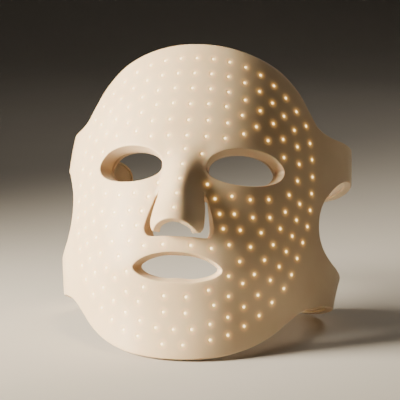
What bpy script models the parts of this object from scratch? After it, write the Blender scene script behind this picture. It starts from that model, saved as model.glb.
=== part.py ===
"""LED face mask: a flexible silicone mask with light boards inside, standing on a table.

The mask is described in face coordinates, in millimetres:
  s      distance round the face from the midline, + to the wearer's left (+X)
  z      height above the chin edge
  depth  distance inward from the outer skin, along its normal
Every layer of the mask is the same skin at another depth, so the layers nest.
The whole mask leans back on the table by LEAN_DEG; the front looks along -Y.
"""
import math

import bmesh
import bpy
from mathutils import Matrix, Vector
from mathutils.geometry import delaunay_2d_cdt

MM = 0.001

# ---- Stance on the table -------------------------------------------------------------
LEAN_DEG = 28.35
STAND_SHIFT_Y = -94.75
STAND_SHIFT_Z = 5.87

# ---- Plan curve of the face: (radius, heading where the arc ends, in degrees) ---------
PLAN_ARCS = ((84.0, 41.0), (135.0, 70.5), (42.0, 172.0))

# ---- Vertical stations: height, setback of the midline, width factor of the plan curve
STATIONS = (
    (0.0, 9.5, 0.800),
    (30.0, 4.9, 0.872),
    (57.0, -4.7, 0.912),
    (90.0, -6.6, 0.962),
    (125.0, -5.3, 0.972),
    (160.0, -2.0, 0.956),
    (190.0, 5.1, 0.897),
    (210.0, 11.6, 0.801),
)

# ---- Nose: height, how far the ridge stands forward, half width, how peaked the arch is
NOSE_STATIONS = (
    (72.0, 21.0, 16.3, 0.50),
    (75.5, 20.3, 18.0, 0.52),
    (80.0, 19.4, 18.3, 0.55),
    (88.0, 16.6, 17.7, 0.85),
    (98.0, 12.0, 16.0, 1.45),
    (108.0, 7.6, 15.2, 2.00),
    (118.0, 3.8, 15.0, 2.00),
    (128.0, 1.2, 15.5, 2.00),
    (140.0, 0.0, 16.0, 2.00),
)
NOSE_LOW_Z = 71.7

# ---- Layers, as depths below the outer skin -------------------------------------------
COVER_THICK = 1.3
LED_TOP = 1.65
LED_HEIGHT = 0.7
BOARD_THICK = 0.4
LINER_THICK = 1.2
GAP = 0.3
WALL = 1.3
BOARD_FRONT = LED_TOP + LED_HEIGHT
BOARD_BACK = BOARD_FRONT + BOARD_THICK
JUMPER_THICK = 0.3
LINER_FRONT = BOARD_BACK + GAP + JUMPER_THICK + GAP
TOTAL_THICK = LINER_FRONT + LINER_THICK
EYE_RIM_DEPTH = 8.0
EYE_RIM_SLANT = 1.8
MOUTH_RIM_DEPTH = 9.0
MOUTH_RIM_SLANT = 1.2
NOSE_RIM_EXTRA = 3.2
NOSE_RIM_SLANT = 2.4
GASKET_THICK = 2.4
GASKET_GAP = 0.5
GASKET_OUTER = 3.0
GASKET_INNER = 1.1

# ---- Outlines, right half of the face, as (s, z) --------------------------------------
OUTLINE_HALF = (
    (0.0, 200.0), (30.0, 197.6), (58.0, 189.8), (75.0, 178.8), (86.0, 166.5),
    (94.5, 158.3), (108.0, 156.0), (126.0, 157.6), (150.0, 158.4), (176.0, 157.4),
    (195.0, 153.6), (202.0, 143.5), (196.0, 133.4), (178.0, 132.6), (155.0, 134.4),
    (134.0, 133.2), (121.0, 127.8), (110.5, 119.0), (103.5, 110.0), (101.0, 100.5),
    (102.5, 91.0), (108.0, 83.5), (118.0, 77.8), (135.0, 73.6), (155.0, 72.2),
    (180.0, 71.6), (195.0, 68.8), (201.0, 62.3), (195.0, 55.6), (178.0, 53.0),
    (155.0, 51.8), (132.0, 49.4), (113.0, 45.4), (99.0, 40.3), (87.0, 32.0),
    (74.0, 21.5), (58.0, 12.2), (38.0, 4.8), (18.0, 1.2), (0.0, 0.3),
)
FACE_HALF = (
    (0.0, 200.0), (30.0, 197.4), (56.0, 188.4), (72.5, 176.6), (86.0, 161.8),
    (95.5, 145.0), (100.5, 126.0), (101.5, 100.0), (99.5, 75.0), (94.5, 54.0),
    (84.5, 35.5), (71.5, 24.0), (56.0, 13.6), (38.0, 5.6), (18.0, 1.4), (0.0, 0.3),
)
EYE = (
    (14.2, 115.4), (16.4, 121.8), (24.0, 127.0), (36.0, 129.9), (48.0, 130.2),
    (59.0, 127.8), (65.8, 121.6), (63.0, 114.8), (54.0, 109.9), (42.5, 107.2),
    (30.5, 106.7), (21.0, 108.5), (15.6, 111.6),
)
MOUTH_HALF = ((0.0, 61.8), (10.0, 61.3), (19.6, 59.4), (26.8, 56.6), (30.5, 53.0),
              (26.2, 49.1), (18.6, 46.4), (10.0, 44.9), (0.0, 44.7))
NOSE_CUT_HALF = ((0.0, 99.6), (8.0, 99.6), (14.6, 99.4), (16.0, 96.4), (17.8, 91.4),
                 (20.1, 85.4), (22.1, 79.4), (22.5, 75.4), (20.6, 72.2), (17.6, 71.4),
                 (9.0, 71.5), (0.0, 71.5))
NOSE_FLAP_HALF = ((0.0, 98.2), (8.0, 98.2), (13.4, 98.0), (14.8, 96.0), (16.2, 91.0),
                  (17.2, 85.0), (17.7, 79.5), (17.6, 76.4), (16.9, 74.2), (15.7, 72.3),
                  (14.5, 71.95), (12.5, 73.2), (9.5, 74.8), (6.0, 75.95), (0.0, 76.6))

# ---- LED layout, right half: lights in a run, and the curve they are spread along ------
LED_RUNS = (
    # Outer ring: over the forehead, down the cheek, round the jaw.
    (9, ((0.0, 189.2), (21.5, 188.1), (43.8, 182.6), (64.8, 170.3), (82.0, 156.0))),
    (9, ((86.1, 145.4), (89.6, 130.2), (90.5, 114.2), (89.8, 91.3), (83.6, 59.6))),
    (6, ((78.5, 50.4), (60.8, 32.3), (40.2, 18.2), (26.7, 13.4))),
    # Second ring.
    (8, ((0.0, 178.1), (22.1, 177.3), (44.4, 170.3), (63.5, 157.3), (71.9, 150.4))),
    (3, ((75.1, 140.1), (77.6, 129.1), (77.2, 118.1))),
    (6, ((80.8, 104.0), (77.8, 81.6), (71.9, 62.2), (66.3, 53.1))),
    (6, ((57.7, 43.6), (39.3, 29.0), (14.4, 18.8), (0.0, 17.7))),
    # Shorter runs over the brow.
    (8, ((0.0, 167.3), (23.2, 166.4), (45.1, 157.2), (62.2, 144.0), (64.9, 130.4))),
    (6, ((0.0, 156.3), (23.1, 156.2), (44.6, 145.2), (52.2, 138.6))),
    (4, ((0.0, 145.5), (23.4, 145.6), (35.4, 139.7))),
    (3, ((0.0, 135.3), (24.0, 135.2))),
    # Runs down the cheek and round under the mouth.
    (9, ((71.4, 107.5), (67.5, 84.8), (59.9, 64.6), (47.2, 47.4), (26.6, 33.6))),
    (6, ((56.3, 101.2), (58.8, 91.8), (54.4, 80.7), (41.9, 60.0), (35.4, 50.8))),
    (2, ((22.4, 41.6), (7.6, 36.8))),
    (4, ((43.6, 98.6), (47.2, 89.4), (40.2, 80.0), (33.5, 69.0))),
    (3, ((31.6, 98.9), (34.8, 89.8), (28.4, 78.2))),
    # Single lights beside the nose, over the lip and on the chin.
    (1, ((10.7, 123.6),)),
    (1, ((15.8, 104.6),)),
    (1, ((21.2, 96.0),)),
    (1, ((25.1, 87.0),)),
    (1, ((22.4, 65.6),)),
    (1, ((9.1, 66.3),)),
    (1, ((7.6, 27.6),)),
    (1, ((7.6, 8.9),)),
)
LED_SPLIT_CLEARANCE = 2.4
LED_SIZE = 2.0
FOREHEAD_SPLIT_Z = 132.8
CHIN_SPLIT_Z = 45.6
BRIDGE_TONGUE_S = 12.0
TONGUE_LOW_Z = 95.4
SPLIT_START_S = 44.0
BOARD_CUT = 0.4
BOARD_INSET = 5.0
BOARD_HOLE_CLEARANCE = 3.2
BRIDGE_LED_Z = (126.0, 115.2, 104.6)
FLAP_LED_Z = (94.0, 84.0)

# ---- Nose hinge -----------------------------------------------------------------------
HINGE_Z = 98.9
HINGE_FORWARD = 5.0

# ---- Power pod behind the forehead ----------------------------------------------------
POD_HALF_S = 42.0
POD_Z = (151.0, 188.0)
POD_CORNER = 6.0
POD_FRONT = TOTAL_THICK + 2 * GAP
POD_WALL = 1.2
POD_RIM = 13.0
POD_GASKET_THICK = 0.6
POD_PLATE_THICK = 1.3
POD_TOP_DEPTH = 9.8
POD_BUTTON_S = 12.0
POD_PORT_S = 31.0
POD_LIGHT_S = 20.4
BUTTON_SIZE = (7.0, 3.4)
PORT_SIZE = (9.0, 3.3)
BEZEL_SIZE = (13.0, 6.0)
RIBBON_Z = 165.0

# ---- Finishes: colour, roughness, metallic ---------------------------------------------
FINISHES = {
    "silicone": ((0.83, 0.72, 0.58), 0.55, 0.0),
    "liner": ((0.80, 0.66, 0.50), 0.60, 0.0),
    "seal": ((0.62, 0.47, 0.33), 0.70, 0.0),
    "board": ((0.86, 0.62, 0.32), 0.45, 0.0),
    "flex": ((0.72, 0.42, 0.12), 0.40, 0.0),
    "pod": ((0.80, 0.71, 0.60), 0.45, 0.0),
    "foil": ((0.60, 0.62, 0.65), 0.35, 0.8),
    "circuit": ((0.04, 0.20, 0.09), 0.50, 0.0),
    "black_plastic": ((0.04, 0.04, 0.04), 0.50, 0.0),
    "button": ((0.72, 0.60, 0.46), 0.35, 0.0),
    "steel": ((0.70, 0.70, 0.72), 0.25, 1.0),
    "light_pipe": ((0.95, 0.90, 0.80), 0.15, 0.0),
    "wire_red": ((0.60, 0.05, 0.04), 0.50, 0.0),
    "wire_black": ((0.03, 0.03, 0.03), 0.50, 0.0),
}

# ---- Mesh fineness --------------------------------------------------------------------
COVER_GRID = 11.0
LOOP_SPACING = 5.0
LINE_STEP = 8.0


# ======================================================================================
# Geometry helpers
# ======================================================================================
def station_value(stations, column, z):
    """Smooth (Hermite) interpolation of one column of a station table."""
    count = len(stations)
    z = min(max(z, stations[0][0]), stations[-1][0])
    i = 0
    while i < count - 2 and z > stations[i + 1][0]:
        i += 1

    def slope(k):
        low = max(k - 1, 0)
        high = min(k + 1, count - 1)
        rise = stations[high][column] - stations[low][column]
        return rise / (stations[high][0] - stations[low][0])

    step = stations[i + 1][0] - stations[i][0]
    t = (z - stations[i][0]) / step
    a = stations[i][column]
    b = stations[i + 1][column]
    return (
        (2 * t**3 - 3 * t**2 + 1) * a
        + (t**3 - 2 * t**2 + t) * step * slope(i)
        + (3 * t**2 - 2 * t**3) * b
        + (t**3 - t**2) * step * slope(i + 1)
    )


def plan_point(s):
    """The point of the unit-width plan curve at arc length s: (sideways, backward)."""
    left = abs(s)
    heading = 0.0
    x = 0.0
    y = 0.0
    for radius, end_deg in PLAN_ARCS:
        turn = min(left / radius, math.radians(end_deg) - heading)
        x += radius * (math.sin(heading + turn) - math.sin(heading))
        y += radius * (math.cos(heading) - math.cos(heading + turn))
        heading += turn
        left -= turn * radius
        if left <= 1e-9:
            break
    x += left * math.cos(heading)
    y += left * math.sin(heading)
    return math.copysign(x, s), y


def nose_forward(s, z):
    """How far the nose stands forward of the plain face at (s, z)."""
    if not NOSE_LOW_Z < z < NOSE_STATIONS[-1][0]:
        return 0.0
    half_width = station_value(NOSE_STATIONS, 2, z)
    u = abs(s) / half_width
    if u >= 1.0:
        return 0.0
    return station_value(NOSE_STATIONS, 1, z) * (1 - u * u) ** station_value(NOSE_STATIONS, 3, z)


def skin(s, z):
    """A point of the outer skin in mask axes: x sideways, y backward, z up."""
    x, y = plan_point(s)
    width = station_value(STATIONS, 2, z)
    setback = station_value(STATIONS, 1, z)
    return Vector((width * x, setback + width * y - nose_forward(s, z), z))


def skin_axes(s, z):
    """Unit vectors at (s, z): along s, up the face, and inward."""
    step = 0.05
    along = (skin(s + step, z) - skin(s - step, z)).normalized()
    up = (skin(s, z + step) - skin(s, z - step)).normalized()
    inward = up.cross(along).normalized()
    return along, along.cross(inward).normalized(), inward


def at_depth(s, z, depth):
    return skin(s, z) + depth * skin_axes(s, z)[2]


def mirrored(half):
    """A closed outline from its right half, which starts and ends on the midline."""
    return list(half) + [(-s, z) for s, z in reversed(half[1:-1])]


def flipped(points):
    return [(-s, z) for s, z in reversed(points)]


def catmull_rom(points, steps=12):
    count = len(points)
    fine = []
    for i in range(count):
        p0, p1, p2, p3 = (points[(i + k) % count] for k in (-1, 0, 1, 2))
        for j in range(steps):
            t = j / steps
            fine.append(tuple(
                0.5 * (2 * b + (c - a) * t + (2 * a - 5 * b + 4 * c - d) * t**2
                       + (3 * b - a - 3 * c + d) * t**3)
                for a, b, c, d in zip(p0, p1, p2, p3)
            ))
    return fine


def resampled(points, spacing):
    """Points evenly spaced along a closed polyline, about spacing apart."""
    lengths = [math.dist(points[i], points[(i + 1) % len(points)]) for i in range(len(points))]
    total = sum(lengths)
    count = max(8, round(total / spacing))
    result = []
    i = 0
    walked = 0.0
    for k in range(count):
        target = total * k / count
        while walked + lengths[i] < target:
            walked += lengths[i]
            i += 1
        t = (target - walked) / lengths[i]
        a = points[i]
        b = points[(i + 1) % len(points)]
        result.append((a[0] + t * (b[0] - a[0]), a[1] + t * (b[1] - a[1])))
    return result


def smooth_loop(points, spacing):
    return resampled(catmull_rom(points), spacing)


def signed_area(loop):
    return 0.5 * sum(
        a[0] * b[1] - b[0] * a[1] for a, b in zip(loop, loop[1:] + loop[:1])
    )


def offset_loop(loop, distance):
    """Each point moved by distance towards the outside of the loop (inside if negative)."""
    side = 1.0 if signed_area(loop) > 0 else -1.0
    result = []
    for i, point in enumerate(loop):
        before = loop[i - 1]
        after = loop[(i + 1) % len(loop)]
        tangent = Vector((after[0] - before[0], after[1] - before[1])).normalized()
        result.append((point[0] + side * tangent.y * distance,
                       point[1] - side * tangent.x * distance))
    return result


def rounded_rectangle(s0, s1, z0, z1, radius, arc_steps=3):
    loop = []
    corners = ((s1 - radius, z0 + radius, -90), (s1 - radius, z1 - radius, 0),
               (s0 + radius, z1 - radius, 90), (s0 + radius, z0 + radius, 180))
    for cx, cz, start in corners:
        for k in range(arc_steps + 1):
            angle = math.radians(start + 90 * k / arc_steps)
            loop.append((cx + radius * math.cos(angle), cz + radius * math.sin(angle)))
    return loop


def divided(loop, longest):
    """The loop with its long sides split, so that it can follow a curved skin."""
    result = []
    for a, b in zip(loop, loop[1:] + loop[:1]):
        pieces = max(1, math.ceil(math.dist(a, b) / longest))
        for k in range(pieces):
            t = k / pieces
            result.append((a[0] + t * (b[0] - a[0]), a[1] + t * (b[1] - a[1])))
    return result


def inside(point, loop):
    x, y = point
    hit = False
    for (x0, y0), (x1, y1) in zip(loop, loop[1:] + loop[:1]):
        if (y0 > y) != (y1 > y) and x < x0 + (y - y0) * (x1 - x0) / (y1 - y0):
            hit = not hit
    return hit


def loop_distance(point, loop):
    nearest = 1e9
    p = Vector(point)
    for a, b in zip(loop, loop[1:] + loop[:1]):
        a = Vector(a)
        edge = Vector(b) - a
        t = max(0.0, min(1.0, (p - a).dot(edge) / max(edge.length_squared, 1e-12)))
        nearest = min(nearest, (a + t * edge - p).length)
    return nearest


def grid_points(loops, spacing, clearance):
    """A staggered grid over the first loop, clear of every loop."""
    border = loops[0]
    low_s = min(p[0] for p in border)
    low_z = min(p[1] for p in border)
    high_z = max(p[1] for p in border)
    columns = int(-low_s / spacing) + 1
    rows = int((high_z - low_z) / (spacing * 0.866)) + 1
    points = []
    for row in range(rows + 1):
        z = low_z + row * spacing * 0.866
        for column in range(-columns, columns + 1):
            s = (column + 0.5 * (row % 2)) * spacing
            point = (s, z)
            if not inside(point, border) or any(inside(point, hole) for hole in loops[1:]):
                continue
            if min(loop_distance(point, loop) for loop in loops) > clearance:
                points.append(point)
    return points


def triangulate(loops, points, lines=()):
    """Constrained triangles over loops, loose points and cut lines."""
    verts = []
    edges = []
    for loop in loops:
        first = len(verts)
        verts += loop
        edges += [(first + i, first + (i + 1) % len(loop)) for i in range(len(loop))]
    for a, b in lines:
        pieces = math.ceil(math.dist(a, b) / LINE_STEP)
        first = len(verts)
        verts += [(a[0] + (b[0] - a[0]) * k / pieces, a[1] + (b[1] - a[1]) * k / pieces)
                  for k in range(pieces + 1)]
        edges += [(first + k, first + k + 1) for k in range(pieces)]
    verts += points
    result = delaunay_2d_cdt([Vector(v) for v in verts], edges, [], 0, 1e-5)
    return [tuple(v) for v in result[0]], [tuple(f) for f in result[2]]


def centre(verts, triangle):
    return (sum(verts[i][0] for i in triangle) / 3, sum(verts[i][1] for i in triangle) / 3)


# ======================================================================================
# Scene helpers
# ======================================================================================
def clear_scene():
    for obj in list(bpy.data.objects):
        bpy.data.objects.remove(obj, do_unlink=True)


def make_material(name, finish):
    """A material for one piece, from its entry in FINISHES."""
    colour, roughness, metallic = FINISHES[finish]
    material = bpy.data.materials.new(name)
    material.use_nodes = True
    shader = material.node_tree.nodes["Principled BSDF"]
    shader.inputs["Base Color"].default_value = (*colour, 1.0)
    shader.inputs["Roughness"].default_value = roughness
    shader.inputs["Metallic"].default_value = metallic
    return material


def make_empty(name, parent=None, location=(0, 0, 0), rotation=(0, 0, 0)):
    empty = bpy.data.objects.new(name, None)
    bpy.context.scene.collection.objects.link(empty)
    empty.parent = parent
    empty.location = location
    empty.rotation_euler = rotation
    return empty


def make_object(name, bm, finish, parent, matrix=None, smooth_angle=40.0):
    """An object from a bmesh in metres, under parent, placed by matrix."""
    bmesh.ops.recalc_face_normals(bm, faces=bm.faces)
    if bm.calc_volume(signed=True) < 0:
        bmesh.ops.reverse_faces(bm, faces=bm.faces)
    mesh = bpy.data.meshes.new(name)
    bm.to_mesh(mesh)
    bm.free()
    mesh.shade_smooth()
    mesh.set_sharp_from_angle(angle=math.radians(smooth_angle))
    mesh.materials.append(make_material(name, finish))
    obj = bpy.data.objects.new(name, mesh)
    bpy.context.scene.collection.objects.link(obj)
    obj.parent = parent
    if matrix is not None:
        obj.matrix_local = matrix
    return obj


class LayeredBody:
    """A closed body between copies of one flat triangulation at several depths."""

    def __init__(self, verts, origin):
        self.verts = verts
        self.origin = origin
        self.bm = bmesh.new()
        self.made = {}

    def vert(self, index, layer, depth, shift=(0.0, 0.0, 0.0)):
        key = (index, layer)
        if key not in self.made:
            s, z = self.verts[index]
            point = at_depth(s + shift[0], z + shift[1], depth + shift[2]) - self.origin
            self.made[key] = self.bm.verts.new(point * MM)
        return self.made[key]

    def cap(self, triangles, layer, depth, facing_out, shifts=None):
        for triangle in triangles:
            corners = [self.vert(i, layer, depth, (shifts or {}).get(i, (0.0, 0.0, 0.0)))
                       for i in triangle]
            self.bm.faces.new(corners if facing_out else corners[::-1])

    def wall(self, edges, layer_a, layer_b):
        """Quads between two layers along directed border edges of the outer cap."""
        for a, b in edges:
            self.bm.faces.new((self.made[a, layer_a], self.made[a, layer_b],
                               self.made[b, layer_b], self.made[b, layer_a]))


def border_edges(triangles):
    directed = {}
    for a, b, c in triangles:
        for edge in ((a, b), (b, c), (c, a)):
            directed[edge] = True
    return [edge for edge in directed if (edge[1], edge[0]) not in directed]


def layered_sheet(name, verts, triangles, front, back, finish, parent,
                  origin=Vector(), raised=(), raise_by=0.0):
    """A sheet between two depths, with raised islands (the LEDs) on its front."""
    body = LayeredBody(verts, origin)
    raised_set = set(raised)
    flat = [t for t in triangles if t not in raised_set]
    body.cap(flat, "front", front, True)
    body.cap(raised, "top", front - raise_by, True)
    body.cap(triangles, "back", back, False)
    for a, b in border_edges(raised):
        for index in (a, b):
            body.vert(index, "front", front)
    body.wall(border_edges(raised), "top", "front")
    body.wall(border_edges(triangles), "front", "back")
    return make_object(name, body.bm, finish, parent)


def rimmed_shell(name, outline, holes, spacing, front, back, finish, parent,
                 origin=Vector(), wall=WALL, extra_points=()):
    """A skin with walls turned inward round its outline and its holes.

    outline is (loop, rim depth); holes are (loop, rim depth, slant function). A rim
    depth of None leaves that edge as a plain cut through the skin.
    """
    loops = [outline[0]] + [hole[0] for hole in holes]
    inner_border = offset_loop(outline[0], -wall) if outline[1] else None
    inner_holes = [offset_loop(h[0], wall) if h[1] else None for h in holes]
    all_loops = loops + [loop for loop in [inner_border] + inner_holes if loop]
    inner_loops = [inner_border or outline[0]]
    inner_loops += [inner or loop for loop, inner in zip(loops[1:], inner_holes)]
    points = grid_points(inner_loops, spacing, 0.55 * spacing)
    verts, triangles = triangulate(all_loops, points + list(extra_points))

    def region(triangle):
        point = centre(verts, triangle)
        if not inside(point, loops[0]) or any(inside(point, loop) for loop in loops[1:]):
            return None
        if inner_border and not inside(point, inner_border):
            return "outline"
        for k, loop in enumerate(inner_holes):
            if loop and inside(point, loop):
                return k
        return "skin"

    groups = {}
    for triangle in triangles:
        groups.setdefault(region(triangle), []).append(triangle)
    groups.pop(None, None)
    skin_part = groups.pop("skin")
    body = LayeredBody(verts, origin)
    everything = skin_part + [t for group in groups.values() for t in group]
    body.cap(everything, "front", front, True)
    body.cap(skin_part, "back", back, False)
    in_rim = set()
    for key, group in groups.items():
        if key == "outline":
            depth = outline[1]
            slant = None
        else:
            depth = holes[key][1]
            slant = holes[key][2]
        shifts = {}
        if slant:
            shifts = {i: slant(*verts[i]) for t in group for i in t}
        body.cap(group, "rim", depth, False, shifts)
        in_rim.update(edge for a, b, c in group for edge in ((a, b), (b, c), (c, a)))
    for edge in border_edges(everything):
        body.wall([edge], "front", "rim" if edge in in_rim else "back")
    for a, b in border_edges(skin_part):
        if (b, a) in in_rim:
            body.wall([(a, b)], "rim", "back")
    return make_object(name, body.bm, finish, parent)


def local_matrix(s, z, depth):
    """Placement of a small part: X along the face, Y inward, Z up the face."""
    along, up, inward = skin_axes(s, z)
    rotation = Matrix((along, inward, up)).transposed().to_4x4()
    return Matrix.Translation(at_depth(s, z, depth) * MM) @ rotation


def add_prism(bm, outline, low, high, axis="y"):
    """A prism in bm from a flat outline (mm), between two levels of one local axis."""
    def place(a, b, level):
        point = {"y": (a, level, b), "z": (a, b, level)}[axis]
        return Vector(point) * MM
    bottom = [bm.verts.new(place(a, b, low)) for a, b in outline]
    top = [bm.verts.new(place(a, b, high)) for a, b in outline]
    count = len(outline)
    for i in range(count):
        j = (i + 1) % count
        bm.faces.new((bottom[i], bottom[j], top[j], top[i]))
    bm.faces.new(bottom[::-1])
    bm.faces.new(top)


def add_tube(bm, outer, inner, low, high, floor=None):
    """A prism along z with a hole, closed by a floor if one is given."""
    count = len(outer)
    rings = [
        [bm.verts.new(Vector((a, b, level)) * MM) for a, b in loop]
        for loop, level in ((outer, low), (outer, high), (inner, high),
                            (inner, low if floor is None else floor))
    ]
    for k in range(3 if floor is not None else 4):
        lower = rings[k]
        upper = rings[(k + 1) % 4]
        for i in range(count):
            j = (i + 1) % count
            bm.faces.new((lower[i], lower[j], upper[j], upper[i]))
    if floor is not None:
        bm.faces.new(rings[0][::-1])
        bm.faces.new(rings[3])


def stadium(width, height, arc_steps=4):
    radius = height / 2
    loop = []
    for side, start in ((1, -90), (-1, 90)):
        for k in range(arc_steps + 1):
            angle = math.radians(start + 180 * k / arc_steps)
            loop.append((side * (width / 2 - radius) + radius * math.cos(angle),
                         radius * math.sin(angle)))
    return loop


# ======================================================================================
# LED layout
# ======================================================================================
def open_curve(points, steps=12):
    """A smooth curve through the points, from the first to the last."""
    first = tuple(2 * a - b for a, b in zip(points[0], points[1]))
    last = tuple(2 * a - b for a, b in zip(points[-1], points[-2]))
    fine = catmull_rom([first] + list(points) + [last], steps)
    return fine[steps:steps * len(points) + 1]


def spread_along(curve, count):
    """Evenly spaced points along an open curve, with one at each end."""
    lengths = [math.dist(a, b) for a, b in zip(curve, curve[1:])]
    total = sum(lengths)
    result = []
    i = 0
    walked = 0.0
    for k in range(count):
        target = total * k / (count - 1)
        while i < len(lengths) - 1 and walked + lengths[i] < target:
            walked += lengths[i]
            i += 1
        t = (target - walked) / lengths[i]
        a = curve[i]
        b = curve[i + 1]
        result.append((a[0] + t * (b[0] - a[0]), a[1] + t * (b[1] - a[1])))
    return result


def led_sites():
    """LED centres over the whole face, kept off the cuts between the boards."""
    sites = [(0.0, z) for z in BRIDGE_LED_Z]
    for count, points in LED_RUNS:
        run = spread_along(open_curve(points), count) if count > 1 else points
        for s, z in run:
            for split, from_s in ((FOREHEAD_SPLIT_Z, SPLIT_START_S), (CHIN_SPLIT_Z, 0.0)):
                if abs(z - split) < LED_SPLIT_CLEARANCE and s > from_s:
                    z = split + math.copysign(LED_SPLIT_CLEARANCE, z - split)
            sites.append((s, z))
            if s > 0.1:
                sites.append((-s, z))
    return sites


# ======================================================================================
# The pieces
# ======================================================================================
def outline_loops(spacing):
    eye = smooth_loop(list(EYE), spacing)
    return {
        "outline": smooth_loop(mirrored(OUTLINE_HALF), spacing * 1.15),
        "eye_left": eye,
        "eye_right": flipped(eye),
        "mouth": smooth_loop(mirrored(MOUTH_HALF), spacing),
        "nose": smooth_loop(mirrored(NOSE_CUT_HALF), spacing * 0.75),
    }


def nose_rim_slant(s, z):
    """The side walls of the nose opening get deeper downwards and close in."""
    side = min(1.0, max(0.0, (abs(s) - 15.5) / 3.5))
    height = min(1.0, max(0.0, (97.0 - z) / 20.0))
    share = side * height
    return (-math.copysign(NOSE_RIM_SLANT * share, s), 0.0, NOSE_RIM_EXTRA * share)


def rim_towards(centre_s, centre_z, amount):
    def slant(s, z):
        toward = Vector((centre_s - s, centre_z - z)).normalized() * amount
        return (toward.x, toward.y, 0.0)
    return slant


def silicone_cover(loops, finish, parent):
    eye_centre = 40.0
    holes = [
        (loops["eye_left"], EYE_RIM_DEPTH, rim_towards(eye_centre, 117.5, EYE_RIM_SLANT)),
        (loops["eye_right"], EYE_RIM_DEPTH, rim_towards(-eye_centre, 117.5, EYE_RIM_SLANT)),
        (loops["mouth"], MOUTH_RIM_DEPTH, rim_towards(0.0, 53.0, MOUTH_RIM_SLANT)),
        (loops["nose"], TOTAL_THICK, nose_rim_slant),
    ]
    heights = (103.5, 108.5, 114.0, 120.0, 127.0, 134.0)
    bridge = [(s * 4.0, z) for s in range(-4, 5) for z in heights]
    bridge = [p for p in bridge
              if not any(inside(p, h[0]) or loop_distance(p, h[0]) < 2.6 for h in holes)]
    return rimmed_shell("front_cover", (loops["outline"], TOTAL_THICK), holes, COVER_GRID,
                        0.0, COVER_THICK, finish, parent, extra_points=bridge)


def silicone_liner(loops, ribbon_hole, finish, parent):
    clear = WALL + GAP
    holes = [offset_loop(loops[name], clear) for name in ("eye_left", "eye_right", "mouth", "nose")]
    holes.append(ribbon_hole)
    bridge = [(s * 4.5, z) for s in range(-2, 3) for z in (106.0, 112.0, 119.0, 127.0)]
    return rimmed_shell("face_liner", (offset_loop(loops["outline"], -clear), None),
                        [(hole, None, None) for hole in holes], COVER_GRID,
                        LINER_FRONT, TOTAL_THICK, finish, parent, extra_points=bridge)


def board_label(point):
    """Which light board a point belongs to; None in the cuts between them."""
    s, z = point
    half = BOARD_CUT / 2
    if z > FOREHEAD_SPLIT_Z + half or (abs(s) < SPLIT_START_S and z > EYE[0][1]):
        return "forehead_board"
    if z > FOREHEAD_SPLIT_Z - half:
        return None
    if z > TONGUE_LOW_Z and abs(s) < BRIDGE_TONGUE_S + half:
        return "forehead_board" if abs(s) < BRIDGE_TONGUE_S - half else None
    if z < CHIN_SPLIT_Z - half:
        return "chin_board"
    if z < CHIN_SPLIT_Z + half or abs(s) < half:
        return None
    return "left_cheek_board" if s > 0 else "right_cheek_board"


def led_square(site):
    half = LED_SIZE / 2
    s, z = site
    return [(s - half, z - half), (s + half, z - half), (s + half, z + half), (s - half, z + half)]


def light_boards(loops, sites, finish, parent):
    border = offset_loop(smooth_loop(mirrored(FACE_HALF), 7.0), -BOARD_INSET)
    holes = [offset_loop(smooth_loop(list(EYE), 5.0), BOARD_HOLE_CLEARANCE)]
    holes.append(flipped(holes[0]))
    holes.append(offset_loop(smooth_loop(mirrored(MOUTH_HALF), 5.0), BOARD_HOLE_CLEARANCE))
    holes.append(offset_loop(smooth_loop(mirrored(NOSE_CUT_HALF), 5.0), BOARD_HOLE_CLEARANCE))
    squares = [led_square(site) for site in sites]
    reach = 110.0
    lines = []
    for side in (-BOARD_CUT / 2, BOARD_CUT / 2):
        for sign in (1, -1):
            tongue = sign * (BRIDGE_TONGUE_S + side)
            split = FOREHEAD_SPLIT_Z + side
            lines.append(((sign * SPLIT_START_S, split), (sign * reach, split)))
            lines.append(((tongue, TONGUE_LOW_Z), (tongue, EYE[0][1])))
        lines.append(((-reach, CHIN_SPLIT_Z + side), (reach, CHIN_SPLIT_Z + side)))
        lines.append(((side, CHIN_SPLIT_Z), (side, TONGUE_LOW_Z)))
    verts, triangles = triangulate([border] + holes + squares, [], lines)
    lit = {}
    flat = {}
    for triangle in triangles:
        point = centre(verts, triangle)
        if not inside(point, border) or any(inside(point, hole) for hole in holes):
            continue
        label = board_label(point)
        if label is None:
            continue
        flat.setdefault(label, []).append(triangle)
        if any(max(abs(point[0] - s), abs(point[1] - z)) < LED_SIZE / 2 for s, z in sites):
            lit.setdefault(label, []).append(triangle)
    for name, pieces in flat.items():
        layered_sheet(name, verts, pieces, BOARD_FRONT, BOARD_BACK, finish, parent,
                      raised=lit.get(name, []), raise_by=LED_HEIGHT)


def plain_sheet(name, outline, front, back, finish, parent, holes=(), spacing=30.0, origin=Vector()):
    """A plate of the given outline between two depths."""
    return rimmed_shell(name, (outline, None), [(hole, None, None) for hole in holes], spacing,
                        front, back, finish, parent, origin=origin)


def jumper(name, s, z, finish, parent):
    """A short flex link over the cut between two light boards."""
    front = BOARD_BACK + GAP
    plain_sheet(name, rounded_rectangle(s - 4, s + 4, z - 5, z + 5, 1.0, 1), front,
                front + JUMPER_THICK, finish, parent)


def eye_gasket(name, loop, finish, parent):
    front = EYE_RIM_DEPTH + GASKET_GAP
    plain_sheet(name, offset_loop(loop, GASKET_OUTER), front, front + GASKET_THICK, finish, parent,
                holes=[offset_loop(loop, -GASKET_INNER)])


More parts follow.
